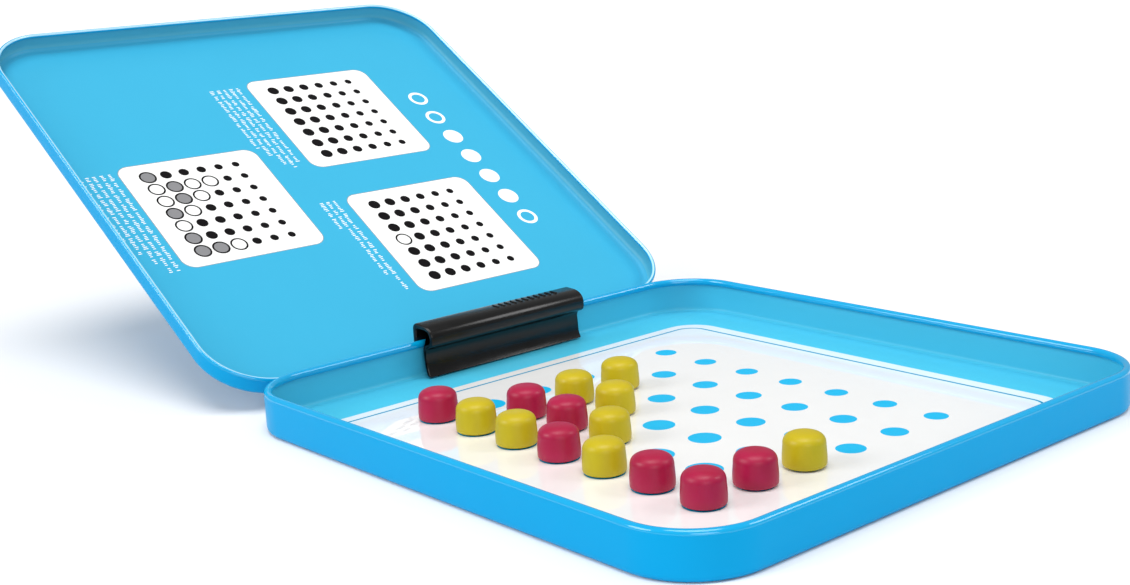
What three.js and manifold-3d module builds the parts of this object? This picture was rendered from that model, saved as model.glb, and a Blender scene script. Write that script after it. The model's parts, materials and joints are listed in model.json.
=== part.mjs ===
// Travel four in a row game in a hinged tin, open and ready to play.
// Millimetres, +Z up. The origin is the centre of the tray's underside. +X runs from the hinge to the
// tray's free edge, along the rows of the board, and +Y runs along the hinge, up the board's columns.

import * as THREE from 'three';
import { mergeVertices } from 'three/addons/utils/BufferGeometryUtils.js';
import Module from 'manifold-3d';

const wasm = await Module();
wasm.setup();

// ---- Driving dimensions ----

const TIN_SIDE = 157;
const CORNER_RADIUS = 18;
const CORNER_STEPS = 7;
const SHEET = 0.4;
const CLEARANCE = 0.3;
const TRAY_RIM_RADIUS = 1;
const LID_RIM_RADIUS = 0.6;
const RIM_END_DEGREES = 105;
const RIM_STEPS = 8;

const TRAY_DEPTH = 10.5;
const TRAY_EDGE_RADIUS = 1.6;
const LID_DEPTH = 6.1;
const LID_EDGE_RADIUS = 2.5;
const EDGE_STEPS = 3;

const OPEN_DEGREES = 147.6;
const HINGE_OUTSET = 1.2;
const HINGE_DROP = 1.7;
const HINGE_PLACES = { front: -46, back: 46 };
const HINGE_LENGTH = 16;
const KNUCKLE_LENGTH = 8;
const KNUCKLE_RADIUS = 0.9;
const PIN_RADIUS = 0.44;
const PIN_OVERHANG = 0.3;
const LEAF_HEIGHT = 4.8;
const ROUND_STEPS = 16;

const CLIP_LENGTH = 54;
const CLIP_CENTRE = 3.5;
const CLIP_TOP = 15;
const CLIP_WALL = 1.4;
const CLIP_LEG_OVERLAP = 1.6;
const CLIP_RETURN_DROP = 0.1;
const CLIP_BULGE = 4.6;
const CLIP_FLARE = 1.35;
const CLIP_FOOT_LIFT = 0.5;
const WINDOW_MARGIN = 0.6;
const WINDOW_HEIGHT = 5;
const CUT_MARGIN = 1;

const COLUMN_PITCH = 15;
const ROW_PITCH = 15.6;
const COLUMNS = 7;
const ROWS = 6;
const BOARD_CENTRE = { x: 1.5, y: -4.2 };

const PEG_HEIGHT = 7.6;
const PEG_BASE_RADIUS = 4.95;
const PEG_SHOULDER_RADIUS = 4.75;
const PEG_SHOULDER_HEIGHT = 5.4;
const PEG_SEGMENTS = 18;
const MAGNET_RADIUS = 3;
const MAGNET_HEIGHT = 2;

// Column and row of each peg, both counted from 1 at the front hinge corner of the board.
const RED_PEGS = [[1, 1], [4, 1], [6, 1], [7, 1], [2, 2], [3, 2], [7, 2]];
const YELLOW_PEGS = [[2, 1], [3, 1], [5, 1], [4, 2], [2, 3], [3, 3], [7, 3], [2, 4]];

// ---- Derived dimensions ----

const HALF_SIDE = TIN_SIDE / 2;
const HINGE_X = -HALF_SIDE - HINGE_OUTSET;
const HINGE_Z = TRAY_DEPTH - HINGE_DROP;
const LID_RIM_Z = TRAY_DEPTH + CLEARANCE;
const KNUCKLE_BORE = KNUCKLE_RADIUS - SHEET;
const PEG_FLOOR = SHEET + CLEARANCE;

// ---- Materials ----

const material = (color, roughness, metalness) => new THREE.MeshStandardMaterial({ color, roughness, metalness });

const tinPaint = material(0x1fa3de, 0.35, 0.2);
const barePlate = material(0xb9bcc0, 0.3, 0.9);
const blackPlastic = material(0x232021, 0.5, 0);
const redPlastic = material(0xb5213f, 0.4, 0);
const yellowPlastic = material(0xc9b81e, 0.4, 0);
const ferrite = material(0x2d2b2b, 0.7, 0.1);

// ---- Helpers ----

const radians = THREE.MathUtils.degToRad;

function addMesh(parent, name, geometry, surface) {
  const mesh = new THREE.Mesh(geometry, surface);
  mesh.name = name;
  parent.add(mesh);
  return mesh;
}

function weld(geometry) {
  const bare = geometry.clone();
  bare.deleteAttribute('normal');
  bare.deleteAttribute('uv');
  return mergeVertices(bare, 1e-4);
}

function toSolid(geometry) {
  const welded = weld(geometry);
  const vertProperties = new Float32Array(welded.attributes.position.array);
  const triVerts = new Uint32Array(welded.index.array);
  return new wasm.Manifold(new wasm.Mesh({ numProp: 3, vertProperties, triVerts }));
}

function toGeometry(solid) {
  const mesh = solid.getMesh();
  const geometry = new THREE.BufferGeometry();
  geometry.setAttribute('position', new THREE.BufferAttribute(new Float32Array(mesh.vertProperties), 3));
  geometry.setIndex(new THREE.BufferAttribute(new Uint32Array(mesh.triVerts), 1));
  geometry.computeVertexNormals();
  return geometry;
}

function boxSolid(low, high) {
  const size = new THREE.Vector3().subVectors(high, low);
  const geometry = new THREE.BoxGeometry(size.x, size.y, size.z);
  geometry.translate((low.x + high.x) / 2, (low.y + high.y) / 2, (low.z + high.z) / 2);
  return toSolid(geometry);
}

// Extrudes a shape drawn in X and Z along Y, from yLow to yHigh.
function extrudeAlongY(shape, yLow, yHigh, curveSegments = 4) {
  const geometry = new THREE.ExtrudeGeometry(shape, { depth: yHigh - yLow, bevelEnabled: false, curveSegments });
  geometry.rotateX(Math.PI / 2);
  geometry.translate(0, yHigh, 0);
  return geometry;
}

// ---- Pressed tin pans ----

// Points round the tin's outline, moved inwards by inset, at height z.
function outlineRing(inset, z) {
  const radius = CORNER_RADIUS - inset;
  const centre = HALF_SIDE - CORNER_RADIUS;
  const ring = [];
  for (const [signX, signY, start] of [[1, 1, 0], [-1, 1, 90], [-1, -1, 180], [1, -1, 270]]) {
    for (let step = 0; step <= CORNER_STEPS; step += 1) {
      const angle = radians(start + (90 * step) / CORNER_STEPS);
      ring.push([signX * centre + radius * Math.cos(angle), signY * centre + radius * Math.sin(angle), z]);
    }
  }
  return ring;
}

// Points of an arc as [inset, height] pairs, both ends included.
function arc(centreInset, centreHeight, radius, fromDegrees, toDegrees, steps) {
  const points = [];
  for (let step = 0; step <= steps; step += 1) {
    const angle = radians(fromDegrees + ((toDegrees - fromDegrees) * step) / steps);
    points.push([centreInset + radius * Math.cos(angle), centreHeight + radius * Math.sin(angle)]);
  }
  return points;
}

// Section of a pan's wall as [inset, height] pairs, from the underside, up the outside,
// round the curled rim and back down the inside to the floor. Height 0 is the closed face.
function panSection(depth, edgeRadius, rimRadius) {
  const rimHeight = depth - rimRadius;
  return [
    ...arc(edgeRadius, edgeRadius, edgeRadius, 270, 180, EDGE_STEPS),
    ...arc(rimRadius, rimHeight, rimRadius, 180, -RIM_END_DEGREES, RIM_STEPS),
    ...arc(rimRadius, rimHeight, rimRadius - SHEET, -RIM_END_DEGREES, 180, RIM_STEPS),
    ...arc(edgeRadius, edgeRadius, edgeRadius - SHEET, 180, 270, EDGE_STEPS),
  ];
}

// Sweeps a section round the outline and closes it across the floor, inside and out.
function panGeometry(section) {
  const rings = section.map(([inset, height]) => outlineRing(inset, height));
  const around = rings[0].length;
  const positions = rings.flat(2);
  const index = [];
  for (let row = 0; row < rings.length - 1; row += 1) {
    for (let k = 0; k < around; k += 1) {
      const next = (k + 1) % around;
      const [a, b] = [row * around + k, row * around + next];
      const [c, d] = [a + around, b + around];
      index.push(a, b, d, a, d, c);
    }
  }
  const underside = positions.length / 3;
  positions.push(0, 0, section[0][1]);
  positions.push(0, 0, section.at(-1)[1]);
  const lastRing = (rings.length - 1) * around;
  for (let k = 0; k < around; k += 1) {
    const next = (k + 1) % around;
    index.push(underside, next, k);
    index.push(underside + 1, lastRing + k, lastRing + next);
  }
  const geometry = new THREE.BufferGeometry();
  geometry.setAttribute('position', new THREE.Float32BufferAttribute(positions, 3));
  geometry.setIndex(index);
  geometry.computeVertexNormals();
  return geometry;
}

function buildTray(parent) {
  const pan = panGeometry(panSection(TRAY_DEPTH, TRAY_EDGE_RADIUS, TRAY_RIM_RADIUS));
  addMesh(parent, 'tray_pan', pan, tinPaint);
}

// The lid's hinge wall has a window that closes over the clip.
function buildLid(parent) {
  const pan = panGeometry(panSection(LID_DEPTH, LID_EDGE_RADIUS, LID_RIM_RADIUS));
  pan.rotateX(Math.PI);
  pan.translate(0, 0, LID_RIM_Z + LID_DEPTH);
  const halfWindow = CLIP_LENGTH / 2 + WINDOW_MARGIN;
  const windowLow = new THREE.Vector3(
    -HALF_SIDE - CUT_MARGIN,
    CLIP_CENTRE - halfWindow,
    LID_RIM_Z - CUT_MARGIN,
  );
  const windowHigh = new THREE.Vector3(
    -HALF_SIDE + 2 * TRAY_RIM_RADIUS + CLEARANCE,
    CLIP_CENTRE + halfWindow,
    LID_RIM_Z + WINDOW_HEIGHT,
  );
  const cut = toSolid(pan).subtract(boxSolid(windowLow, windowHigh));
  addMesh(parent, 'lid_pan', toGeometry(cut), tinPaint);
}

// ---- Hinges ----

function knuckleShape() {
  const shape = new THREE.Shape();
  shape.absarc(HINGE_X, HINGE_Z, KNUCKLE_RADIUS, 0, 2 * Math.PI, false);
  const bore = new THREE.Path();
  bore.absarc(HINGE_X, HINGE_Z, KNUCKLE_BORE, 0, 2 * Math.PI, true);
  shape.holes.push(bore);
  return shape;
}

// A strip of leaf from startHeight to endHeight above the axis, or below it where direction is -1.
function leafShape(direction, startHeight, endHeight) {
  const outer = HINGE_X + KNUCKLE_RADIUS;
  const inner = outer - SHEET;
  const shape = new THREE.Shape();
  shape.moveTo(inner, HINGE_Z + direction * startHeight);
  shape.lineTo(outer, HINGE_Z + direction * startHeight);
  shape.lineTo(outer, HINGE_Z + direction * endHeight);
  shape.lineTo(inner, HINGE_Z + direction * endHeight);
  shape.closePath();
  return shape;
}

// A leaf plate with knuckles over the given stretches along Y, measured from the hinge's middle.
function hingeLeaf(direction, place, stretches) {
  const plateStart = KNUCKLE_RADIUS + CLEARANCE;
  const half = HINGE_LENGTH / 2;
  const plate = extrudeAlongY(leafShape(direction, plateStart, LEAF_HEIGHT), place - half, place + half);
  let leaf = toSolid(plate);
  for (const [low, high] of stretches) {
    const tongue = extrudeAlongY(leafShape(direction, 0.05, LEAF_HEIGHT), place + low, place + high);
    const knuckle = extrudeAlongY(knuckleShape(), place + low, place + high, ROUND_STEPS / 2);
    leaf = leaf.add(toSolid(tongue)).add(toSolid(knuckle));
  }
  return toGeometry(leaf);
}

function pinGeometry(place) {
  const length = HINGE_LENGTH + 2 * PIN_OVERHANG;
  const geometry = new THREE.CylinderGeometry(PIN_RADIUS, PIN_RADIUS, length, ROUND_STEPS);
  geometry.translate(HINGE_X, place, HINGE_Z);
  return geometry;
}

function buildHinges(tray, lid) {
  const half = HINGE_LENGTH / 2;
  const middle = KNUCKLE_LENGTH / 2;
  const trayStretches = [[-middle, middle]];
  const lidStretches = [[-half, -middle - CLEARANCE], [middle + CLEARANCE, half]];
  for (const [side, place] of Object.entries(HINGE_PLACES)) {
    addMesh(tray, `tray_hinge_leaf_${side}`, hingeLeaf(-1, place, trayStretches), barePlate);
    addMesh(lid, `lid_hinge_leaf_${side}`, hingeLeaf(1, place, lidStretches), barePlate);
    addMesh(tray, `hinge_pin_${side}`, pinGeometry(place), barePlate);
  }
}

// ---- Clip over the rim ----

// A springy strip bent over the rim: a short leg outside, a hollow rounded cap, a neck that returns to
// the wall and a long flap that flares away from it down to its foot.
function clipShape() {
  const slotOuter = -HALF_SIDE - CLEARANCE;
  const slotInner = -HALF_SIDE + 2 * TRAY_RIM_RADIUS + CLEARANCE;
  const legOuter = slotOuter - CLIP_WALL;
  const legBottom = TRAY_DEPTH - CLIP_LEG_OVERLAP;
  const ceiling = CLIP_TOP - CLIP_WALL;
  const nose = slotInner + CLIP_BULGE;
  const noseInner = nose - CLIP_WALL;
  const returnTop = TRAY_DEPTH - CLIP_RETURN_DROP;
  const returnFoot = returnTop - CLIP_WALL;
  const neck = returnFoot - 1.8;
  const foot = SHEET + CLIP_FOOT_LIFT;
  const shape = new THREE.Shape();
  shape.moveTo(legOuter, legBottom);
  shape.lineTo(legOuter, CLIP_TOP - 1.8);
  shape.quadraticCurveTo(legOuter, CLIP_TOP, legOuter + 2, CLIP_TOP);
  shape.lineTo(slotInner + 1.2, CLIP_TOP - 0.2);
  shape.quadraticCurveTo(nose - 0.3, CLIP_TOP - 0.8, nose, CLIP_TOP - 3.2);
  shape.lineTo(nose, returnTop + 0.2);
  shape.quadraticCurveTo(nose, returnFoot + 0.3, slotInner + 3.2, returnFoot);
  shape.quadraticCurveTo(slotInner + 1.7, returnFoot - 0.2, slotInner + 1.5, neck);
  shape.quadraticCurveTo(slotInner + 1.1, neck / 2, slotInner + 2 * CLIP_FLARE, foot);
  shape.lineTo(slotInner + CLIP_FLARE, foot);
  shape.quadraticCurveTo(slotInner + 0.1, neck / 2, slotInner, neck + 0.6);
  shape.quadraticCurveTo(slotInner + 0.1, returnTop - 0.2, slotInner + 2.4, returnTop);
  shape.quadraticCurveTo(noseInner, returnTop + 0.1, noseInner, returnTop + 1);
  shape.quadraticCurveTo(noseInner - 0.2, ceiling - 0.3, slotInner + 1, ceiling - 0.1);
  shape.lineTo(slotOuter + 0.9, ceiling);
  shape.quadraticCurveTo(slotOuter, ceiling, slotOuter, ceiling - 1);
  shape.lineTo(slotOuter, legBottom);
  shape.closePath();
  return shape;
}

function buildClip(parent) {
  const half = CLIP_LENGTH / 2;
  const geometry = extrudeAlongY(clipShape(), CLIP_CENTRE - half, CLIP_CENTRE + half, 5);
  addMesh(parent, 'rim_clip', geometry, blackPlastic);
}

// ---- Magnetic pegs ----

function pegGeometry() {
  const socketRadius = MAGNET_RADIUS + CLEARANCE;
  const socketDepth = MAGNET_HEIGHT + CLEARANCE;
  const profile = [
    new THREE.Vector2(0, socketDepth),
    new THREE.Vector2(socketRadius, socketDepth),
    new THREE.Vector2(socketRadius, 0),
    new THREE.Vector2(PEG_BASE_RADIUS - 0.5, 0),
    new THREE.Vector2(PEG_BASE_RADIUS, 0.6),
  ];
  const shoulder = new THREE.QuadraticBezierCurve(
    new THREE.Vector2(PEG_SHOULDER_RADIUS, PEG_SHOULDER_HEIGHT),
    new THREE.Vector2(PEG_SHOULDER_RADIUS - 0.2, PEG_HEIGHT - 0.4),
    new THREE.Vector2(PEG_SHOULDER_RADIUS / 2, PEG_HEIGHT - 0.2),
  );
  profile.push(...shoulder.getPoints(4), new THREE.Vector2(0, PEG_HEIGHT));
  const geometry = new THREE.LatheGeometry(profile, PEG_SEGMENTS);
  geometry.rotateX(Math.PI / 2);
  return geometry;
}

function magnetGeometry() {
  const geometry = new THREE.CylinderGeometry(MAGNET_RADIUS, MAGNET_RADIUS, MAGNET_HEIGHT, PEG_SEGMENTS);
  geometry.rotateX(Math.PI / 2);
  geometry.translate(0, 0, MAGNET_HEIGHT / 2);
  return geometry;
}

function buildPegs(parent, colour, places, surface) {
  places.forEach(([column, row], k) => {
    const peg = new THREE.Group();
    peg.position.set(
      BOARD_CENTRE.x + (column - (COLUMNS + 1) / 2) * COLUMN_PITCH,
      BOARD_CENTRE.y + (row - (ROWS + 1) / 2) * ROW_PITCH,
      PEG_FLOOR,
    );
    addMesh(peg, `peg_${colour}_${k + 1}`, pegGeometry(), surface);
    addMesh(peg, `magnet_${colour}_${k + 1}`, magnetGeometry(), ferrite);
    parent.add(peg);
  });
}

// ---- Assembly ----

const game = new THREE.Group();
const tray = new THREE.Group();
const lid = new THREE.Group();
const lidClosed = new THREE.Group();

buildTray(tray);
buildLid(lidClosed);
buildHinges(tray, lidClosed);
buildClip(tray);
buildPegs(tray, 'red', RED_PEGS, redPlastic);
buildPegs(tray, 'yellow', YELLOW_PEGS, yellowPlastic);

// The lid is drawn closed, then swung open about the hinge axis.
lidClosed.position.set(-HINGE_X, 0, -HINGE_Z);
lid.position.set(HINGE_X, 0, HINGE_Z);
lid.rotation.y = -radians(OPEN_DEGREES);
lid.add(lidClosed);
game.add(tray, lid);

export default game;
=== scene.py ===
import json
import math
import random

import bmesh
import bpy
from mathutils import Matrix, Vector
from mathutils.geometry import delaunay_2d_cdt


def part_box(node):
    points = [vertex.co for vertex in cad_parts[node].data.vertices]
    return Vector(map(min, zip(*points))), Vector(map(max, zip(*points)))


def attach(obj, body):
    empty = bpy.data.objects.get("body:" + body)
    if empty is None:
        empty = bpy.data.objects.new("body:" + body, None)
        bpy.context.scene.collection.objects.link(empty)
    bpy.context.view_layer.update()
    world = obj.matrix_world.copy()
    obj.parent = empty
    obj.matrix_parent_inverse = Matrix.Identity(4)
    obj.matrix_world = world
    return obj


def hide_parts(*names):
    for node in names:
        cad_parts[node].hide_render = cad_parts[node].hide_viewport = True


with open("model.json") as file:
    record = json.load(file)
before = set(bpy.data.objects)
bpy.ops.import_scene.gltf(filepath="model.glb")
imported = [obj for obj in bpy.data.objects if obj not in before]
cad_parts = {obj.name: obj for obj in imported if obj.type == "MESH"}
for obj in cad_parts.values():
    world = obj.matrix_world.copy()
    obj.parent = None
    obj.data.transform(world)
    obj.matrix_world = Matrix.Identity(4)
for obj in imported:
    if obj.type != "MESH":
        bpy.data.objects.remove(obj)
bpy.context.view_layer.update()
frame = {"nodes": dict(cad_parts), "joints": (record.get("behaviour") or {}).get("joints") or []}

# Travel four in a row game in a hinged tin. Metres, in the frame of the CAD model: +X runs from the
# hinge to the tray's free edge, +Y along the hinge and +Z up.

MM = 0.001

# ---- Sizes, in millimetres unless a name says otherwise ----

CORNER_RADIUS = 18
CORNER_STEPS = 28
SHEET = 0.4
RIM_GAP = 0.3
TRAY_RIM_RADIUS = 1
LID_RIM_RADIUS = 0.6
# Angles round the rim's centre, where 0 is its inner side and 90 its top: how far below the inner side
# the curl ends, and the reach of the crest, which a paler ink covers as a painted highlight.
RIM_END_DEGREES = 105
CREST_HIGHLIGHT_DEGREES = (34, 96)
RIM_STEPS = 36
# Width of the flat strip that joins the bend at a wall's foot, inside and outside.
FLAT_MARGIN = 0.8
TRAY_EDGE_RADIUS = 1.6
LID_DEPTH = 6.1
LID_EDGE_RADIUS = 2.5
EDGE_STEPS = 10
WINDOW_MARGIN = 0.6
WINDOW_HEIGHT = 5
CLIP_WALL = 1.4
CLIP_BULGE = 4.6
CLIP_FLARE = 1.35
CLIP_RETURN_DROP = 0.1
CLIP_LEG_OVERLAP = 1.6

COLUMNS = 7
ROWS = 6
COLUMN_PITCH = 15
ROW_PITCH = 15.6
BOARD_CENTRE = (1.5, -4.2)
BOARD_CORNER = 9
# The board's panel, the line round it and the panel within: half the width in columns, half the height
# in rows, and the ink.
BOARD_LAYERS = ((4.25, 4.37, "white"), (4.04, 4.13, "line"), (3.99, 4.08, "white"))
# Radius of the dots in each row, in columns, from the front row to the back.
DOT_RADII = [0.308, 0.283, 0.26, 0.233, 0.216, 0.195]
# Column and row of each peg, both counted from 1 at the front hinge corner of the board.
RED_PEGS = [(1, 1), (4, 1), (6, 1), (7, 1), (2, 2), (3, 2), (7, 2)]
YELLOW_PEGS = [(2, 1), (3, 1), (5, 1), (4, 2), (2, 3), (3, 3), (7, 3), (2, 4)]

# ---- Colours, linear ----

OUTSIDE_BLUE = (0.0, 0.325, 0.66)
RIM_BLUE = (0.0, 0.345, 0.66)
# Painted highlight: a pale ink along the rim's crest, standing in for the light the bead catches.
CREST_PAINTED_HIGHLIGHT_BLUE = (0.42, 0.74, 0.90)
LID_BLUE = (0.044, 0.41, 0.645)
# Painted shade: the lid's inner wall is printed greyer than its floor, and the bend at its foot between
# the two, for the shade under the rim.
LID_WALL_SHADED_BLUE = (0.08, 0.41, 0.57)
LID_BEND_HALF_SHADED_BLUE = (0.05, 0.39, 0.61)
# Painted light: the tray's inside takes the same ink as the lid's inside, printed lighter here to offset
# the shade that the lid and the walls cast into the tray.
TRAY_BLUE_PAINTED_LIGHTER = (0.068, 0.51, 0.72)
DOT_BLUE = (0.0, 0.43, 0.74)
LINE_BLUE = (0.0, 0.27, 0.47)
PRINT_WHITE = (0.94, 0.94, 0.93)
BOARD_WHITE = (0.97, 0.97, 0.96)
PRINT_BLACK = (0.004, 0.003, 0.004)
PRINT_GREY = (0.24, 0.24, 0.25)
OUTLINE_GREY = (0.30, 0.29, 0.30)
STEEL_DARK = (0.50, 0.51, 0.53)
STEEL_LIGHT = (0.68, 0.69, 0.71)
BLACK_DEEP = (0.002, 0.002, 0.002)
BLACK_LIGHT = (0.006, 0.006, 0.006)
RED_DEEP = (0.31, 0.004, 0.027)
RED_LIGHT = (0.42, 0.008, 0.068)
YELLOW_DEEP = (0.45, 0.35, 0.004)
YELLOW_LIGHT = (0.54, 0.425, 0.006)
FERRITE_DARK = (0.020, 0.019, 0.019)
FERRITE_LIGHT = (0.055, 0.052, 0.050)
FLOOR_DARK = (0.83, 0.83, 0.83)
FLOOR_LIGHT = (0.85, 0.85, 0.85)

# ---- Material nodes ----

# Sockets of the mix node that carry its factor and, in colour mode, its colours and result.
MIX_FACTOR = 0
MIX_FIRST = 6
MIX_SECOND = 7
MIX_RESULT = 2
# Range that most of a noise texture's values lie in.
NOISE_LOW = 0.3
NOISE_HIGH = 0.7
THIN_INK_SHARE = 0.96
LACQUER_ROUGHNESS_DRIFT = 0.08


def new_material(name):
    """A new node material and its shader."""
    material = bpy.data.materials.new(name)
    material.use_nodes = True
    return material, material.node_tree.nodes["Principled BSDF"]


def link(material, source, socket):
    material.node_tree.links.new(source, socket)


def set_values(made, **values):
    """Sets a node's uniform values. Underscores stand for the spaces in a socket's name."""
    for name, value in values.items():
        made.inputs[name.replace("_", " ")].default_value = value


def node(material, kind, **values):
    made = material.node_tree.nodes.new(kind)
    set_values(made, **values)
    return made


def noise(material, scale, detail=3.0, stretch=None):
    """Noise in object space, with cells about 1 / scale metres across. stretch multiplies the scale along
    each axis."""
    made = node(material, "ShaderNodeTexNoise", Scale=scale, Detail=detail)
    place = node(material, "ShaderNodeTexCoord").outputs["Object"]
    if stretch:
        mapping = node(material, "ShaderNodeMapping", Scale=stretch)
        link(material, place, mapping.inputs["Vector"])
        place = mapping.outputs["Vector"]
    link(material, place, made.inputs["Vector"])
    return made.outputs["Fac"]


def spread(material, source, low, high):
    """Maps the middle range of noise, where most of it lies, onto low to high."""
    span = {"From_Min": NOISE_LOW, "From_Max": NOISE_HIGH, "To_Min": low, "To_Max": high}
    made = node(material, "ShaderNodeMapRange", **span)
    link(material, source, made.inputs["Value"])
    return made.outputs["Result"]


def tint(material, source, dark, light):
    """Mixes two colours by a value from 0 to 1."""
    made = node(material, "ShaderNodeMix")
    made.data_type = "RGBA"
    made.inputs[MIX_FIRST].default_value = (*dark, 1)
    made.inputs[MIX_SECOND].default_value = (*light, 1)
    link(material, source, made.inputs[MIX_FACTOR])
    return made.outputs[MIX_RESULT]


def bump(material, shader, layers):
    """Chains bumps, each a (height source, depth in metres, strength), into the shader's normal."""
    normal = None
    for height, depth, strength in layers:
        made = node(material, "ShaderNodeBump", Distance=depth, Strength=strength)
        link(material, height, made.inputs["Height"])
        if normal:
            link(material, normal, made.inputs["Normal"])
        normal = made.outputs["Normal"]
    link(material, normal, shader.inputs["Normal"])


def printed_tin(name, colour, roughness=0.3, specular=0.3, coat=0.1, gloss=0.12, index=1.5):
    """Ink under clear lacquer. The ink's density drifts a little, the lacquer's haze varies and its face
    has a faint orange peel."""
    material, shader = new_material(name)
    thin_ink = tuple(channel * THIN_INK_SHARE for channel in colour)
    density = noise(material, scale=45)
    link(material, tint(material, density, thin_ink, colour), shader.inputs["Base Color"])
    haze = noise(material, scale=260, detail=5)
    rough = spread(material, haze, roughness, roughness + LACQUER_ROUGHNESS_DRIFT)
    link(material, rough, shader.inputs["Roughness"])
    set_values(shader, Specular_IOR_Level=specular)
    set_values(shader, Coat_Weight=coat, Coat_Roughness=gloss, Coat_IOR=index)
    peel = noise(material, scale=420, detail=0)
    sheet = noise(material, scale=28, detail=0)
    bump(material, shader, [(sheet, 0.0009, 0.04), (peel, 0.00003, 0.05)])
    return material


def bare_steel():
    """Plated steel with a grain drawn out along Y."""
    material, shader = new_material("bare_steel")
    grain = noise(material, scale=500, detail=4, stretch=(1, 0.05, 1))
    link(material, tint(material, grain, STEEL_DARK, STEEL_LIGHT), shader.inputs["Base Color"])
    link(material, spread(material, grain, low=0.29, high=0.42), shader.inputs["Roughness"])
    set_values(shader, Metallic=1)
    bump(material, shader, [(grain, 0.00002, 0.3)])
    return material


def black_plastic():
    """Moulded black plastic with a fine spark-eroded grain."""
    material, shader = new_material("black_plastic")
    cloud = noise(material, scale=120, detail=4)
    link(material, tint(material, cloud, BLACK_DEEP, BLACK_LIGHT), shader.inputs["Base Color"])
    link(material, spread(material, cloud, low=0.18, high=0.25), shader.inputs["Roughness"])
    set_values(shader, Specular_IOR_Level=0.33)
    bump(material, shader, [(noise(material, scale=2600, detail=3), 0.00004, 0.25)])
    return material


def peg_plastic(name, deep, light):
    """Satin moulded plastic that lets a little light in."""
    material, shader = new_material(name)
    cloud = noise(material, scale=160, detail=2)
    link(material, tint(material, cloud, deep, light), shader.inputs["Base Color"])
    haze = noise(material, scale=700, detail=4)
    link(material, spread(material, haze, low=0.36, high=0.46), shader.inputs["Roughness"])
    set_values(shader, Specular_IOR_Level=0.32)
    set_values(shader, Subsurface_Weight=0.04, Subsurface_Radius=(1, 0.5, 0.4), Subsurface_Scale=0.0012)
    bump(material, shader, [(noise(material, scale=1800, detail=2), 0.00003, 0.12)])
    return material


def ferrite():
    """Dark sintered ferrite with a coarse speckle."""
    material, shader = new_material("ferrite")
    speckle = noise(material, scale=2400, detail=5)
    link(material, tint(material, speckle, FERRITE_DARK, FERRITE_LIGHT), shader.inputs["Base Color"])
    link(material, spread(material, speckle, low=0.5, high=0.75), shader.inputs["Roughness"])
    bump(material, shader, [(speckle, 0.00008, 0.4)])
    return material


# ---- Outlines ----


def arc(centre, radius, from_degrees, to_degrees, steps):
    """Points of an arc, both ends included."""
    points = []
    for step in range(steps + 1):
        angle = math.radians(from_degrees + (to_degrees - from_degrees) * step / steps)
        points.append((centre[0] + radius * math.cos(angle), centre[1] + radius * math.sin(angle)))
    return points


def disc(centre, radius, steps=40):
    """Points round a circle, without a repeat of the first."""
    return arc(centre, radius, 0, 360 * (1 - 1 / steps), steps - 1)


def rounded_rectangle(centre, half_x, half_y, radius, steps=10):
    points = []
    for sign_x, sign_y, start in ((1, 1, 0), (-1, 1, 90), (-1, -1, 180), (1, -1, 270)):
        corner = (centre[0] + sign_x * (half_x - radius), centre[1] + sign_y * (half_y - radius))
        points += arc(corner, radius, start, start + 90, steps)
    return points


def bar(start, end, width, steps):
    """A stroke with round ends."""
    heading = math.degrees(math.atan2(end[1] - start[1], end[0] - start[0]))
    tail = arc(start, width / 2, heading + 90, heading + 270, steps)
    return tail + arc(end, width / 2, heading - 90, heading + 90, steps)


# ---- Pressed tin pans ----

# Output kind of the triangulation that keeps every triangle within its faces, and its tolerance.
TRIANGLES_INSIDE = 1
TRIANGULATION_TOLERANCE = 1e-5


def section_rows(depth, edge_radius, rim_radius, sill):
    """A pan wall's section as (inset, height, ink) rows: from the underside up the outside, round the
    rolled rim to the sheet's cut edge, and back inside it to the floor. Height 0 is the closed face.
    The rim's crest has an ink of its own for a painted highlight, and the inner wall and the bend at its
    foot have inks of their own for painted shade. Returns the rows and the two rows that lie at the
    height of the window's sill."""

    def edge(radius, from_degrees, to_degrees):
        if sill is None:
            return arc((edge_radius, edge_radius), radius, from_degrees, to_degrees, EDGE_STEPS), None
        split = 180 + math.degrees(math.asin((edge_radius - sill) / radius))
        near = arc((edge_radius, edge_radius), radius, from_degrees, split, EDGE_STEPS // 2)
        far = arc((edge_radius, edge_radius), radius, split, to_degrees, EDGE_STEPS // 2)
        return near + far[1:], len(near) - 1

    # The crest takes a paler ink, a painted highlight.
    def rim_ink(inset, height):
        angle = math.degrees(math.atan2(height - rim[1], inset - rim[0]))
        return "crest" if CREST_HIGHLIGHT_DEGREES[0] < angle < CREST_HIGHLIGHT_DEGREES[1] else "rim"

    rim = (rim_radius, depth - rim_radius)
    outer_edge, outer_sill = edge(edge_radius, 270, 180)
    outer = [(edge_radius + FLAT_MARGIN, 0)] + outer_edge
    outer += arc(rim, rim_radius, 180, -RIM_END_DEGREES, RIM_STEPS)
    inner = arc(rim, rim_radius - SHEET, -RIM_END_DEGREES, 180, RIM_STEPS // 2)
    inner_edge, inner_sill = edge(edge_radius - SHEET, 180, 270)
    gate = None
    if sill is not None:
        gate = (1 + outer_sill, len(outer) + len(inner) + inner_sill)
    inner += inner_edge + [(edge_radius + FLAT_MARGIN, SHEET)]
    rows = [(inset, height, "outside") for inset, height in outer]
    rim_start = len(rows) - RIM_STEPS - 1
    rows[rim_start:] = [(inset, height, rim_ink(inset, height)) for inset, height, _ in rows[rim_start:]]
    rows[-1] = (*rows[-1][:2], "edge")
    # The inner wall and its bend get inks of their own, which on the lid carry painted shade.
    rows += [(inset, height, "bend" if height < edge_radius / 2 else "wall") for inset, height in inner]
    return rows, gate


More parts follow.
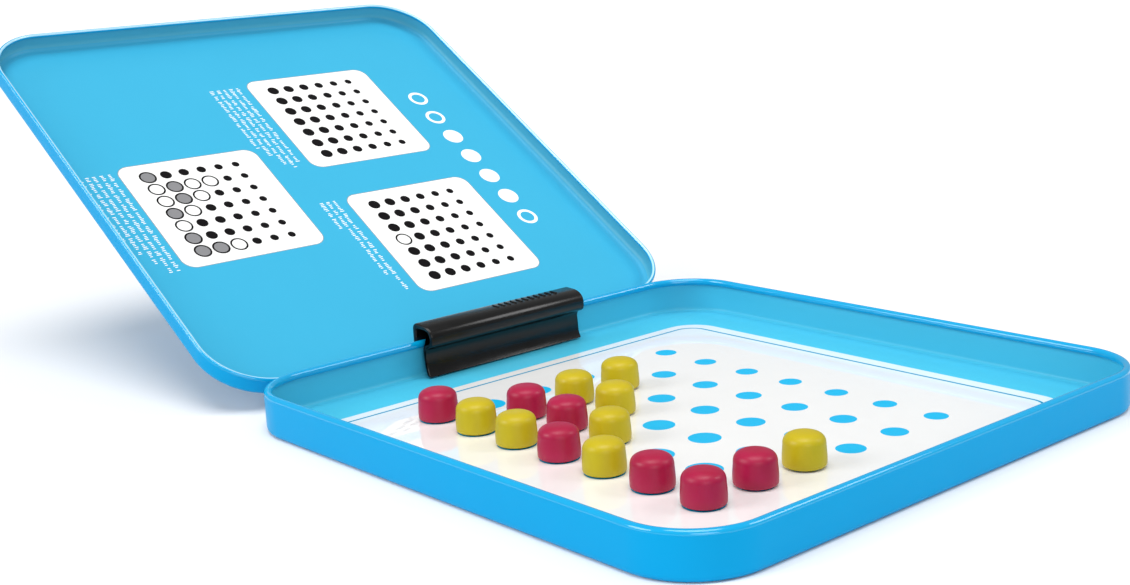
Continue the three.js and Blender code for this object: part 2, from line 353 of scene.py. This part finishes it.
def tin_ring(half_side, inset, window):
    """The tin's outline at an inset, anticlockwise, with a point at each side of the window."""
    ring = []
    reach = half_side - CORNER_RADIUS
    radius = CORNER_RADIUS - inset
    ring += arc((reach, reach), radius, 0, 90, CORNER_STEPS)
    ring += arc((-reach, reach), radius, 90, 180, CORNER_STEPS)
    ring += [(-half_side + inset, window[1]), (-half_side + inset, window[0])]
    ring += arc((-reach, -reach), radius, 180, 270, CORNER_STEPS)
    ring += arc((reach, -reach), radius, 270, 360, CORNER_STEPS)
    return ring


def fill_flat(mesh, ring, height, prints, inks, base, up):
    """Fills a ring with triangles, cut along the printed shapes so that each shape has its own ink."""
    points = [Vector((v.co.x / MM, v.co.y / MM)) for v in ring]
    faces = [list(range(len(points)))]
    for shape, _ in prints:
        faces.append(list(range(len(points), len(points) + len(shape))))
        points += [Vector(p) for p in shape]
    result = delaunay_2d_cdt(points, [], faces, TRIANGLES_INSIDE, TRIANGULATION_TOLERANCE)
    coords, _, triangles, sources, _, owners = result
    verts = []
    for place, origin in zip(coords, sources):
        on_ring = [i for i in origin if i < len(ring)]
        if on_ring:
            verts.append(ring[on_ring[0]])
        else:
            verts.append(mesh.verts.new((place.x * MM, place.y * MM, height)))
    for triangle, owner in zip(triangles, owners):
        corners = [verts[i] for i in triangle]
        face = mesh.faces.new(corners if up else corners[::-1])
        top = max(owner)
        face.material_index = inks.index(prints[top - 1][1] if top > 0 else base)


def pan_piece(name, half_side, depth, radii, prints, materials, placement, window=None):
    """A pressed pan as one closed mesh. radii are those of its lower edge and of its rolled rim, prints
    are (outline, ink) on the floor, each over the last, and window is the low and high y of the opening
    in the hinge wall."""
    inks = list(materials)
    sill = depth - WINDOW_HEIGHT if window else None
    rows, gate = section_rows(depth, *radii, sill)
    y_places = window or (-half_side / 4, half_side / 4)
    mesh = bmesh.new()
    rings = []
    for inset, height, _ in rows:
        ring = tin_ring(half_side, inset, y_places)
        rings.append([mesh.verts.new((x * MM, y * MM, height * MM)) for x, y in ring])
    around = len(rings[0])
    opening = 2 * (CORNER_STEPS + 1)
    for row in range(len(rings) - 1):
        for k in range(around):
            if gate and k == opening and gate[0] <= row < gate[1]:
                continue
            turn = (k + 1) % around
            corners = (rings[row][k], rings[row][turn], rings[row + 1][turn], rings[row + 1][k])
            face = mesh.faces.new(corners)
            face.material_index = inks.index(rows[row][2])
    if gate:
        low, high = gate
        left, right = opening, opening + 1
        sides = [
            (rings[low][left], rings[low][right], rings[high][right], rings[high][left]),
            [rings[row][left] for row in range(high, low - 1, -1)],
            [rings[row][right] for row in range(low, high + 1)],
        ]
        for corners in sides:
            face = mesh.faces.new(corners)
            face.material_index = inks.index("edge")
    fill_flat(mesh, rings[0], 0, [], inks, "outside", up=False)
    fill_flat(mesh, rings[-1], SHEET * MM, prints, inks, "inside", up=True)
    mesh.transform(placement)
    return finish_piece(name, mesh, list(materials.values()))


def finish_piece(name, mesh, materials, sharp_degrees=35):
    """Turns a bmesh into an object with outward faces and smooth shading up to an angle."""
    bmesh.ops.triangulate(mesh, faces=[f for f in mesh.faces if len(f.verts) > 4])
    bmesh.ops.recalc_face_normals(mesh, faces=mesh.faces)
    for face in mesh.faces:
        face.smooth = True
    data = bpy.data.meshes.new(name)
    mesh.to_mesh(data)
    mesh.free()
    data.set_sharp_from_angle(angle=math.radians(sharp_degrees))
    for material in materials:
        data.materials.append(material)
    piece = bpy.data.objects.new(name, data)
    bpy.context.scene.collection.objects.link(piece)
    return piece


# ---- Printed graphics ----


def dot_grid(centre, column_step, row_step, radii, skip=()):
    """Centres and radii of a board's dots. The steps are (x, y) moves for one column and one row."""
    dots = []
    for column in range(1, COLUMNS + 1):
        for row in range(1, ROWS + 1):
            if (column, row) in skip:
                continue
            across, up = column - (COLUMNS + 1) / 2, row - (ROWS + 1) / 2
            x = centre[0] + across * column_step[0] + up * row_step[0]
            y = centre[1] + across * column_step[1] + up * row_step[1]
            dots.append(((x, y), radii[row - 1]))
    return dots


def board_print():
    """The tray's board: a white panel with a thin blue line round it and dots that shrink to the back."""
    shapes = []
    for columns, rows, ink in BOARD_LAYERS:
        half_x, half_y = columns * COLUMN_PITCH, rows * ROW_PITCH
        radius = BOARD_CORNER - (BOARD_LAYERS[0][0] - columns) * COLUMN_PITCH
        shapes.append((rounded_rectangle(BOARD_CENTRE, half_x, half_y, radius), ink))
    radii = [share * COLUMN_PITCH for share in DOT_RADII]
    for centre, radius in dot_grid(BOARD_CENTRE, (COLUMN_PITCH, 0), (0, ROW_PITCH), radii):
        shapes.append((disc(centre, radius), "dot"))
    return shapes


PANEL_HALF = 22.8
PANEL_RADIUS = 4
PANEL_LINE = 0.22
PANEL_DOT_SHIFT = -0.5
PANEL_COLUMN = 5.6
PANEL_ROW = 5.72
PANEL_DOTS = [1.9, 1.73, 1.57, 1.43, 1.29, 1.18]
COUNTER_RADIUS = 2.6
COUNTER_LINE = 0.56
# Centre of each diagram and first line of each block of small print, as on_lid takes them, and the
# lengths of the block's lines.
PANELS = ((107.1, 20), (75, -39.9), (47.3, 21.2))
TEXT_BLOCKS = (
    (127.3, -6.2, [39, 41, 40, 34, 30]),
    (95.5, -65.0, [43, 43, 39, 34, 28]),
    (68.7, -5.4, [42, 34, 12]),
)
LINE_PITCH = 2.3
STROKE_WIDTH = 0.3
STROKE_PITCHES = (0.62, 0.78)
# How far a stroke reaches below and above the middle of its line. One in three is longer.
STROKE_DROPS = (0.4, 0.4, 0.65)
STROKE_RISES = (0.4, 0.4, 0.75)
WORD_STROKES = (3, 8)
WORD_GAP = 0.7
# The row of counters: its first and last distance from the hinge axis, its Y when closed, and sizes.
TITLE_FIRST = 110.5
TITLE_LAST = 46.5
TITLE_LEVEL = 53.6
TITLE_RADIUS = 3.4
TITLE_LINE = 1.1
TITLE_FILLED = (2, 3, 4, 5)


def on_lid(out, along):
    """The lid's own x and y of a point, given by its distance from the hinge axis and its Y when the lid
    is closed."""
    return hinge_x + out, -along


def counter(centre, fill):
    """A counter of a diagram: a disc with a dark line round it."""
    return [(disc(centre, COUNTER_RADIUS), "black"), (disc(centre, COUNTER_RADIUS - COUNTER_LINE), fill)]


def panel_print(out, along, red=(), yellow=()):
    """One small diagram of the board, with counters drawn where a game stands."""
    centre = on_lid(out, along)
    inner = PANEL_HALF - PANEL_LINE
    shapes = [
        (rounded_rectangle(centre, PANEL_HALF, PANEL_HALF, PANEL_RADIUS), "outline"),
        (rounded_rectangle(centre, inner, inner, PANEL_RADIUS - PANEL_LINE), "white"),
    ]
    taken = list(red) + list(yellow)
    centre = on_lid(out, along + PANEL_DOT_SHIFT)
    steps = ((-PANEL_COLUMN, 0), (0, -PANEL_ROW))
    for place, radius in dot_grid(centre, *steps, PANEL_DOTS, skip=taken):
        shapes.append((disc(place, radius, steps=28), "black"))
    for column, row in taken:
        across, up = column - (COLUMNS + 1) / 2, row - (ROWS + 1) / 2
        place = (centre[0] - across * PANEL_COLUMN, centre[1] - up * PANEL_ROW)
        shapes += counter(place, "grey" if (column, row) in red else "white")
    return shapes


def text_lines(out, along, lengths, rng):
    """Lines of small print as rows of fine upright strokes, which read as grey text and say nothing."""
    shapes = []
    for number, length in enumerate(lengths):
        level = along - number * LINE_PITCH
        place = 0.0
        left = rng.randint(*WORD_STROKES)
        while place < length:
            bottom = on_lid(out - place, level - rng.choice(STROKE_DROPS))
            top = on_lid(out - place - STROKE_WIDTH, level + rng.choice(STROKE_RISES))
            shapes.append(([bottom, (top[0], bottom[1]), top, (bottom[0], top[1])], "white"))
            left -= 1
            place += rng.uniform(*STROKE_PITCHES) + (0 if left else WORD_GAP)
            left = left or rng.randint(*WORD_STROKES)
    return shapes


def title_print():
    """A row of seven counters in place of a title, four of them filled in a row."""
    shapes = []
    for k in range(COLUMNS):
        out = TITLE_FIRST + (TITLE_LAST - TITLE_FIRST) * k / (COLUMNS - 1)
        centre = on_lid(out, TITLE_LEVEL)
        shapes.append((disc(centre, TITLE_RADIUS, steps=48), "white"))
        if k not in TITLE_FILLED:
            shapes.append((disc(centre, TITLE_RADIUS - TITLE_LINE, steps=48), "inside"))
    return shapes


def lid_print():
    """The lid's three diagrams, an empty board, a whole game and a first move, with their small print."""
    rng = random.Random(7)
    empty, game, opening = PANELS
    shapes = panel_print(*empty)
    shapes += panel_print(*game, red=RED_PEGS, yellow=YELLOW_PEGS)
    shapes += panel_print(*opening, yellow=[(4, 1)])
    for block in TEXT_BLOCKS:
        shapes += text_lines(*block, rng)
    return shapes + title_print()


# ---- Tin ----

lid_hinge = next(j for j in frame["joints"] if j["name"] == "lid_hinge")
tray_low, tray_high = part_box("tray_pan")
half_side = (tray_high.x - tray_low.x) / 2 / MM
hinge_x = lid_hinge["pos_m"][0] / MM
open_angle = -math.radians(lid_hinge["range_deg"][0])

GLOSSY_LACQUER = {"roughness": 0.17, "specular": 0.1, "gloss": 0.06, "index": 1.6}
TIN_INKS = {
    "outside": printed_tin("tin_outside", OUTSIDE_BLUE, specular=0.08, coat=0.0),
    "rim": printed_tin("tin_rim", RIM_BLUE, coat=0.7, **GLOSSY_LACQUER),
    # A paler ink on the rim's crest: a painted highlight.
    "crest": printed_tin("tin_crest_painted_highlight", CREST_PAINTED_HIGHLIGHT_BLUE, coat=0.9, **GLOSSY_LACQUER),
    "edge": bare_steel(),
    "inside": printed_tin("lid_inside", LID_BLUE, specular=0.15, coat=0.0),
    # Greyer inks on the lid's inner wall and bend: painted shade.
    "wall": printed_tin("lid_wall_painted_shade", LID_WALL_SHADED_BLUE, specular=0.15, coat=0.0),
    "bend": printed_tin("lid_bend_painted_shade", LID_BEND_HALF_SHADED_BLUE, specular=0.15, coat=0.0),
    "white": printed_tin("print_white", PRINT_WHITE),
    "dot": printed_tin("print_dot_blue", DOT_BLUE, specular=0.2, coat=0.0),
    "line": printed_tin("print_line_blue", LINE_BLUE, specular=0.2, coat=0.0),
    "black": printed_tin("print_black", PRINT_BLACK, specular=0.1, coat=0.0),
    "grey": printed_tin("print_grey", PRINT_GREY, specular=0.2, coat=0.0),
    "outline": printed_tin("print_outline", OUTLINE_GREY),
}
# The tray's inside ink, printed lighter than the lid's to offset the shade inside the tray.
TRAY_INK_PAINTED_LIGHTER = printed_tin("tray_inside_painted_lighter", TRAY_BLUE_PAINTED_LIGHTER, specular=0.15, coat=0.0)
TRAY_INKS = {
    # The tray's crest keeps the plain rim ink, without the painted highlight.
    "crest": TIN_INKS["rim"],
    # Inside, wall and bend of the tray share this lighter ink and carry no painted shade.
    "inside": TRAY_INK_PAINTED_LIGHTER,
    "wall": TRAY_INK_PAINTED_LIGHTER,
    "bend": TRAY_INK_PAINTED_LIGHTER,
    "white": printed_tin("board_white", BOARD_WHITE, coat=1.0, gloss=0.03, index=2.1),
}


def inks(*names):
    return {name: TIN_INKS[name] for name in names}


def build_tray():
    piece = pan_piece(
        "tray_tin",
        half_side,
        tray_high.z / MM,
        (TRAY_EDGE_RADIUS, TRAY_RIM_RADIUS),
        board_print(),
        {**inks("outside", "rim", "edge", "dot", "line"), **TRAY_INKS},
        Matrix.Identity(4),
    )
    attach(piece, "tray")
    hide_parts("tray_pan")


def lid_placement():
    """Turns the lid over onto the tray, then swings it open about the hinge."""
    pivot = Vector(lid_hinge["pos_m"])
    back = tray_high.z + (RIM_GAP + LID_DEPTH) * MM
    closed = Matrix.Translation((0, 0, back)) @ Matrix.Rotation(math.pi, 4, "X")
    swing = Matrix.Rotation(-open_angle, 4, "Y")
    return Matrix.Translation(pivot) @ swing @ Matrix.Translation(-pivot) @ closed


def build_lid():
    clip_low, clip_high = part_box("rim_clip")
    window = (-clip_high.y / MM - WINDOW_MARGIN, -clip_low.y / MM + WINDOW_MARGIN)
    piece = pan_piece(
        "lid_tin",
        half_side,
        LID_DEPTH,
        (LID_EDGE_RADIUS, LID_RIM_RADIUS),
        lid_print(),
        TIN_INKS,
        lid_placement(),
        window,
    )
    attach(piece, "lid")
    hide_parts("lid_pan")


build_tray()
build_lid()

# ---- Hinges ----


def cover_node(name, material):
    """Gives a node of the CAD model a single material."""
    slots = frame["nodes"][name].data.materials
    slots.clear()
    slots.append(material)


for end in ("front", "back"):
    for part in ("tray_hinge_leaf", "lid_hinge_leaf", "hinge_pin"):
        cover_node(f"{part}_{end}", TIN_INKS["edge"])

# ---- Clip over the rim ----

CLIP_LEG_ROUND = 1.8
CLIP_CAP_START = 2
CLIP_CAP_END = 1.2
CLIP_CAP_FALL = 0.2
CLIP_NOSE_ROUND = 3.2
CLIP_NECK_DROP = 1.8
CLIP_END_ROUND = 0.45
END_ROUND_STEPS = 3
RIB_COUNT = 11
RIB_PITCH = 2.1
RIB_START = -1
RIB_INSET = 5.2
RIB_HALF_LENGTH = 1.2
RIB_WIDTH = 0.6
RIB_HEIGHT = 0.3
RIB_SIDE_SHARE = 0.6
RIB_BASE_SINK = 0.1
RIB_ROOT = 0.5
RIB_ROUND = 0.1


def quadratic(start, bend, end, steps=8):
    """Points of a quadratic curve, without its start."""
    points = []
    for step in range(1, steps + 1):
        t = step / steps
        a, b, c = (1 - t) ** 2, 2 * t * (1 - t), t * t
        points.append(tuple(a * s + b * m + c * e for s, m, e in zip(start, bend, end)))
    return points


def clip_section():
    """The clip's section as (x, z): a strip bent over the rim, with a short leg outside, a hollow rounded
    cap, a neck that returns to the wall and a long flap that flares away from it. It goes up the outer
    face, over the cap and down to the flap's foot, and back along the inner face. Each step is an end
    point and, for a curve, the point its tangents meet at."""
    low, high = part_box("rim_clip")
    leg_outer, nose, top, foot = low.x / MM, high.x / MM, high.z / MM, low.z / MM
    slot_outer, slot_inner = leg_outer + CLIP_WALL, nose - CLIP_BULGE
    leg_bottom = tray_high.z / MM - CLIP_LEG_OVERLAP
    ceiling, nose_inner = top - CLIP_WALL, nose - CLIP_WALL
    return_top = tray_high.z / MM - CLIP_RETURN_DROP
    return_foot = return_top - CLIP_WALL
    neck = return_foot - CLIP_NECK_DROP
    points = [(leg_outer, leg_bottom), (leg_outer, top - CLIP_LEG_ROUND)]
    for bend, end in (
        ((leg_outer, top), (leg_outer + CLIP_CAP_START, top)),
        (None, (slot_inner + CLIP_CAP_END, top - CLIP_CAP_FALL)),
        ((nose - 0.3, top - 0.8), (nose, top - CLIP_NOSE_ROUND)),
        (None, (nose, return_top + 0.2)),
        ((nose, return_foot + 0.3), (slot_inner + 3.2, return_foot)),
        ((slot_inner + 1.7, return_foot - 0.2), (slot_inner + 1.5, neck)),
        ((slot_inner + 1.1, neck / 2), (slot_inner + 2 * CLIP_FLARE, foot)),
        (None, (slot_inner + CLIP_FLARE, foot)),
        ((slot_inner + 0.1, neck / 2), (slot_inner, neck + 0.6)),
        ((slot_inner + 0.1, return_top - 0.2), (slot_inner + 2.4, return_top)),
        ((nose_inner, return_top + 0.1), (nose_inner, return_top + 1)),
        ((nose_inner - 0.2, ceiling - 0.3), (slot_inner + 1, ceiling - 0.1)),
        (None, (slot_outer + 0.9, ceiling)),
        ((slot_outer, ceiling), (slot_outer, ceiling - 1)),
        (None, (slot_outer, leg_bottom)),
    ):
        points += quadratic(points[-1], bend, end) if bend else [end]
    return points


def offset_loop(points, distance):
    """Moves each point of a closed loop inwards by a distance, along the mitre of its two sides."""
    moved = []
    count = len(points)
    area = sum(points[k - 1][0] * points[k][1] - points[k][0] * points[k - 1][1] for k in range(count))
    side = 1 if area > 0 else -1
    for k in range(count):
        before, here, after = (Vector(points[j % count]) for j in (k - 1, k, k + 1))
        first, second = (here - before).normalized(), (after - here).normalized()
        mitre = Vector((-first.y, first.x)) + Vector((-second.y, second.x))
        mitre *= side * distance / max(mitre.length_squared / 2, 0.5)
        moved.append((here.x + mitre.x, here.y + mitre.y))
    return moved


def join_loops(mesh, loops):
    """Joins each closed loop to the next with quads."""
    count = len(loops[0])
    for first, second in zip(loops, loops[1:]):
        for k in range(count):
            turn = (k + 1) % count
            mesh.faces.new((first[k], first[turn], second[turn], second[k]))


def extruded_piece(name, section, y_low, y_high, material):
    """Extrudes a section along Y with rounded edges at both ends."""
    mesh = bmesh.new()
    rings = []
    for end, sign in ((y_low, 1), (y_high, -1)):
        levels = []
        for step in range(END_ROUND_STEPS + 1):
            angle = math.radians(90 * step / END_ROUND_STEPS)
            inset = CLIP_END_ROUND * (1 - math.sin(angle))
            levels.append((inset, end + sign * CLIP_END_ROUND * (1 - math.cos(angle))))
        rings += levels if sign == 1 else levels[::-1]
    loops = []
    for inset, y in rings:
        loop = offset_loop(section, inset) if inset > 0 else section
        loops.append([mesh.verts.new((x * MM, y * MM, z * MM)) for x, z in loop])
    join_loops(mesh, loops)
    mesh.faces.new(loops[0])
    mesh.faces.new(loops[-1][::-1])
    return finish_piece(name, mesh, [material])


def rib_mesh(centres, top):
    """Low ribs with rounded ends across the clip's top face."""
    mesh = bmesh.new()
    side_top = top + RIB_HEIGHT * RIB_SIDE_SHARE
    levels = ((0, top - RIB_ROOT), (0, side_top), (RIB_ROUND, top + RIB_HEIGHT))
    for x, y in centres:
        outline = bar((x - RIB_HALF_LENGTH, y), (x + RIB_HALF_LENGTH, y), RIB_WIDTH, steps=6)
        loops = []
        for inset, z in levels:
            loop = offset_loop(outline, inset) if inset else outline
            loops.append([mesh.verts.new((px * MM, py * MM, z * MM)) for px, py in loop])
        join_loops(mesh, loops)
        mesh.faces.new(loops[0][::-1])
        mesh.faces.new(loops[-1])
    return mesh


def build_clip():
    low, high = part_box("rim_clip")
    material = black_plastic()
    piece = extruded_piece("clip_body", clip_section(), low.y / MM, high.y / MM, material)
    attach(piece, "clip")
    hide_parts("rim_clip")
    middle = (low.y + high.y) / 2 / MM
    centres = [(high.x / MM - RIB_INSET, middle + RIB_START + RIB_PITCH * k) for k in range(RIB_COUNT)]
    ribs = finish_piece("clip_ribs", rib_mesh(centres, high.z / MM - RIB_BASE_SINK), [material])
    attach(ribs, "clip")


build_clip()

# ---- Pegs and their magnets ----

LATHE_STEPS = 56
SOCKET_RADIUS = 3.3
SOCKET_ROOF = 2.3
SOCKET_CHAMFER = 0.15
FOOT_RADIUS = 0.6
FOOT_INSET = 0.05
SHOULDER_HEIGHT = 4.6
SIDE_TAPER = 0.2
SIDE_CURVE = 1.6
SIDE_STEPS = 6
# Exponent of the head's profile: 2 is an ellipse, and larger numbers are squarer.
HEAD_SQUARENESS = 2.9
HEAD_STEPS = 18


def lathe_piece(name, profile, centre, material):
    """Turns a closed (radius, height) profile about the Z axis. It starts and ends on the axis."""
    mesh = bmesh.new()
    bottom, top = profile[0], profile[-1]
    rings = []
    for radius, height in profile[1:-1]:
        rings.append(
            [
                mesh.verts.new((centre[0] + x * MM, centre[1] + y * MM, centre[2] + height * MM))
                for x, y in disc((0, 0), radius, LATHE_STEPS)
            ]
        )
    start = mesh.verts.new((centre[0], centre[1], centre[2] + bottom[1] * MM))
    end = mesh.verts.new((centre[0], centre[1], centre[2] + top[1] * MM))
    for k in range(LATHE_STEPS):
        turn = (k + 1) % LATHE_STEPS
        mesh.faces.new((start, rings[0][k], rings[0][turn]))
        mesh.faces.new((end, rings[-1][turn], rings[-1][k]))
        for first, second in zip(rings, rings[1:]):
            mesh.faces.new((first[k], second[k], second[turn], first[turn]))
    return finish_piece(name, mesh, [material], sharp_degrees=50)


def peg_profile(height, widest):
    """From the socket's roof, down its wall, under the base, up the side and over the domed head."""
    points = [
        (0, SOCKET_ROOF),
        (SOCKET_RADIUS - SOCKET_CHAMFER, SOCKET_ROOF),
        (SOCKET_RADIUS, SOCKET_ROOF - SOCKET_CHAMFER),
        (SOCKET_RADIUS, SOCKET_CHAMFER),
        (SOCKET_RADIUS + SOCKET_CHAMFER, 0),
    ]
    points += arc((widest - FOOT_INSET - FOOT_RADIUS, FOOT_RADIUS), FOOT_RADIUS, 270, 360, steps=5)
    side_low = 2 * FOOT_RADIUS
    for step in range(1, SIDE_STEPS + 1):
        share = step / SIDE_STEPS
        radius = widest - SIDE_TAPER * share**SIDE_CURVE
        points.append((radius, side_low + (SHOULDER_HEIGHT - side_low) * share))
    for step in range(1, HEAD_STEPS + 1):
        angle = math.radians(90 * step / HEAD_STEPS)
        radius = (widest - SIDE_TAPER) * math.cos(angle) ** (2 / HEAD_SQUARENESS)
        rise = (height - SHOULDER_HEIGHT) * math.sin(angle) ** (2 / HEAD_SQUARENESS)
        points.append((radius, SHOULDER_HEIGHT + rise))
    points[-1] = (0, height)
    return points


def build_pegs(colour, places, material, magnet):
    for k in range(1, len(places) + 1):
        low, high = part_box(f"peg_{colour}_{k}")
        centre = ((low.x + high.x) / 2, (low.y + high.y) / 2, low.z)
        profile = peg_profile((high.z - low.z) / MM, (high.y - low.y) / 2 / MM)
        peg = lathe_piece(f"moulded_peg_{colour}_{k}", profile, centre, material)
        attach(peg, f"peg_{colour}_{k}")
        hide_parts(f"peg_{colour}_{k}")
        cover_node(f"magnet_{colour}_{k}", magnet)


core = ferrite()
build_pegs("red", RED_PEGS, peg_plastic("red_plastic", RED_DEEP, RED_LIGHT), core)
build_pegs("yellow", YELLOW_PEGS, peg_plastic("yellow_plastic", YELLOW_DEEP, YELLOW_LIGHT), core)

# ---- Studio ----

FLOOR_RADIUS_M = 30
WORLD_STRENGTH = 0.33
# Each light's name, the direction it comes from, its strength and its width in degrees.
SUNS = (
    ("overhead", (0.1, -0.1, 1.0), 2.0, 40),
    ("key", (-0.4, -0.8, 0.5), 1.45, 30),
    ("front", (0.82, -0.5, 0.3), 0.85, 34),
    ("edge", (0.5, 0.62, 0.6), 0.7, 22),
)
CAMERA_PLACE_M = (0.26997, -0.26910, 0.11919)
CAMERA_TURN_DEGREES = (77.01, 2.82, 48.77)
CAMERA_LENS = 52.29
CAMERA_SENSOR = 36
CAMERA_NEAR_M = 0.01


def add_floor():
    """A matt pale floor, wide enough to reach the horizon in low views."""
    mesh = bmesh.new()
    bmesh.ops.create_circle(mesh, cap_ends=True, radius=FLOOR_RADIUS_M, segments=96)
    floor = finish_piece("studio_floor", mesh, [])
    material, shader = new_material("studio_floor")
    cloud = noise(material, scale=3, detail=2)
    link(material, tint(material, cloud, FLOOR_DARK, FLOOR_LIGHT), shader.inputs["Base Color"])
    set_values(shader, Roughness=0.9, Specular_IOR_Level=0.1)
    floor.data.materials.append(material)


def add_sun(name, source, strength, spread_degrees):
    """A soft light from the direction of source, the same over the whole floor."""
    data = bpy.data.lights.new(name, "SUN")
    data.energy = strength
    data.angle = math.radians(spread_degrees)
    light = bpy.data.objects.new(name, data)
    light.rotation_euler = (-Vector(source)).to_track_quat("-Z", "Y").to_euler()
    bpy.context.scene.collection.objects.link(light)


def add_world():
    world = bpy.data.worlds.new("studio")
    world.use_nodes = True
    background = world.node_tree.nodes["Background"]
    background.inputs["Color"].default_value = (1, 1, 1, 1)
    background.inputs["Strength"].default_value = WORLD_STRENGTH
    bpy.context.scene.world = world


def add_camera():
    data = bpy.data.cameras.new("camera")
    data.sensor_width = CAMERA_SENSOR
    data.lens = CAMERA_LENS
    data.clip_start = CAMERA_NEAR_M
    camera = bpy.data.objects.new("camera", data)
    camera.location = CAMERA_PLACE_M
    camera.rotation_euler = [math.radians(angle) for angle in CAMERA_TURN_DEGREES]
    bpy.context.scene.collection.objects.link(camera)
    bpy.context.scene.camera = camera


add_floor()
add_world()
for sun in SUNS:
    add_sun(*sun)
add_camera()
bpy.context.scene.view_settings.view_transform = "Standard"
